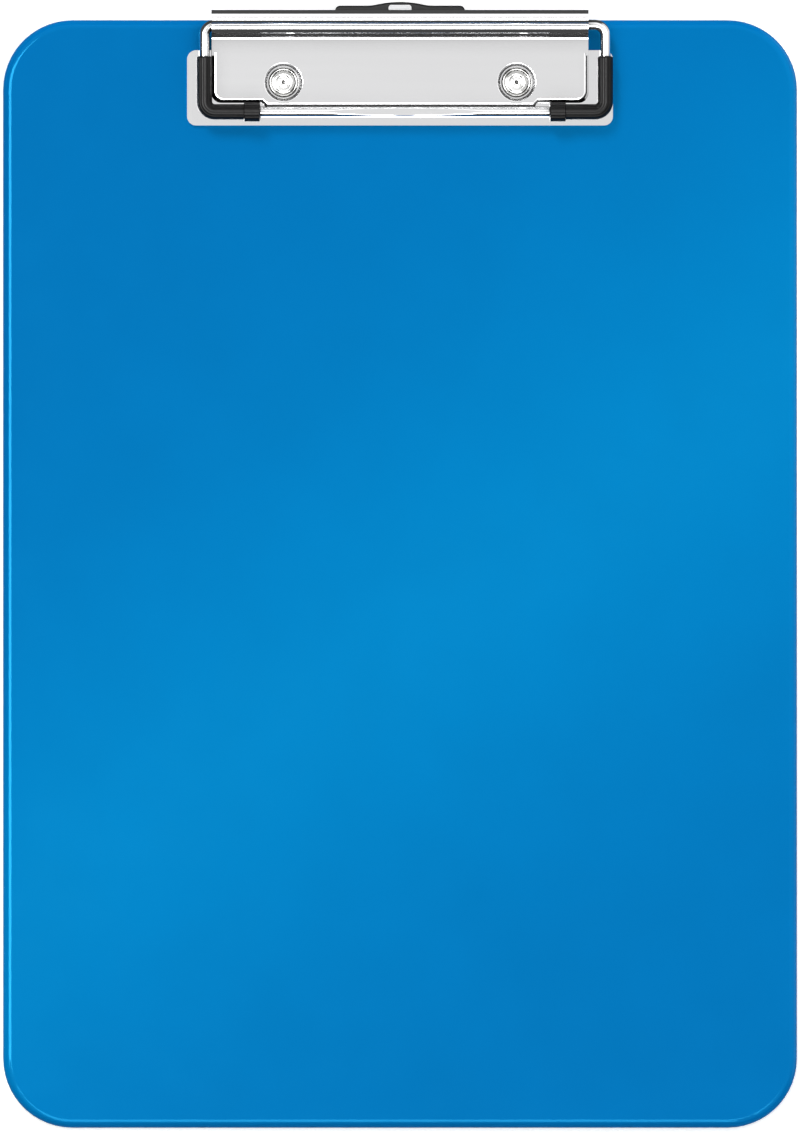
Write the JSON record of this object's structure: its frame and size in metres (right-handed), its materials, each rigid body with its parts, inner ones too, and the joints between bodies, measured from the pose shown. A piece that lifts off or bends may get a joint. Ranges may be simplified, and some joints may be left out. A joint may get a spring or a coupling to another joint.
{
  "type": "clipboard",
  "caption": "A4 clipboard: rounded glossy plastic board with a riveted spring-wire clip with rubber corners, and a pull-out hanging tab.",
  "frame": {"origin": "centre of the board's flat back face", "axes": "+X to the right, +Y to the head edge that carries the clip, +Z out of the writing face"},
  "size_m": [0.229, 0.3246, 0.0167],
  "materials": {
    "board_plastic": "moulded polystyrene, glossy blue",
    "plated_sheet": "drawn sheet steel, bright nickel plate",
    "plated_wire": "drawn spring wire, bright nickel plate",
    "rivet_metal": "turned steel, bright nickel plate",
    "sleeve_rubber": "black moulded rubber, satin",
    "tab_black": "black moulded nylon, satin"
  },
  "bodies": {
    "board": {"board": "board_plastic", "base_plate": "plated_sheet", "rivet_left": "rivet_metal", "rivet_right": "rivet_metal", "rivet_washer_left": "rivet_metal", "rivet_washer_right": "rivet_metal", "torsion_leg_left": "plated_wire", "torsion_leg_right": "plated_wire", "tab_guide": "plated_sheet"},
    "bow": {"lever": "plated_sheet", "wire_bow": "plated_wire", "corner_sleeve_left": "sleeve_rubber", "corner_sleeve_right": "sleeve_rubber"},
    "hanger": {"hanging_tab": "tab_black"}
  },
  "joints": [
    {"name": "clip_open", "type": "hinge", "parent": "board", "child": "bow", "pos_m": [0, 0.1583, 0.007], "axis": [-1, 0, 0], "range_deg": [0, 24], "stiffness_Nm_per_rad": 0.35, "springref_deg": -31.51},
    {"name": "hanger_pull", "type": "slide", "parent": "board", "child": "hanger", "axis": [0, 1, 0], "range_m": [0, 0.012]}
  ]
}
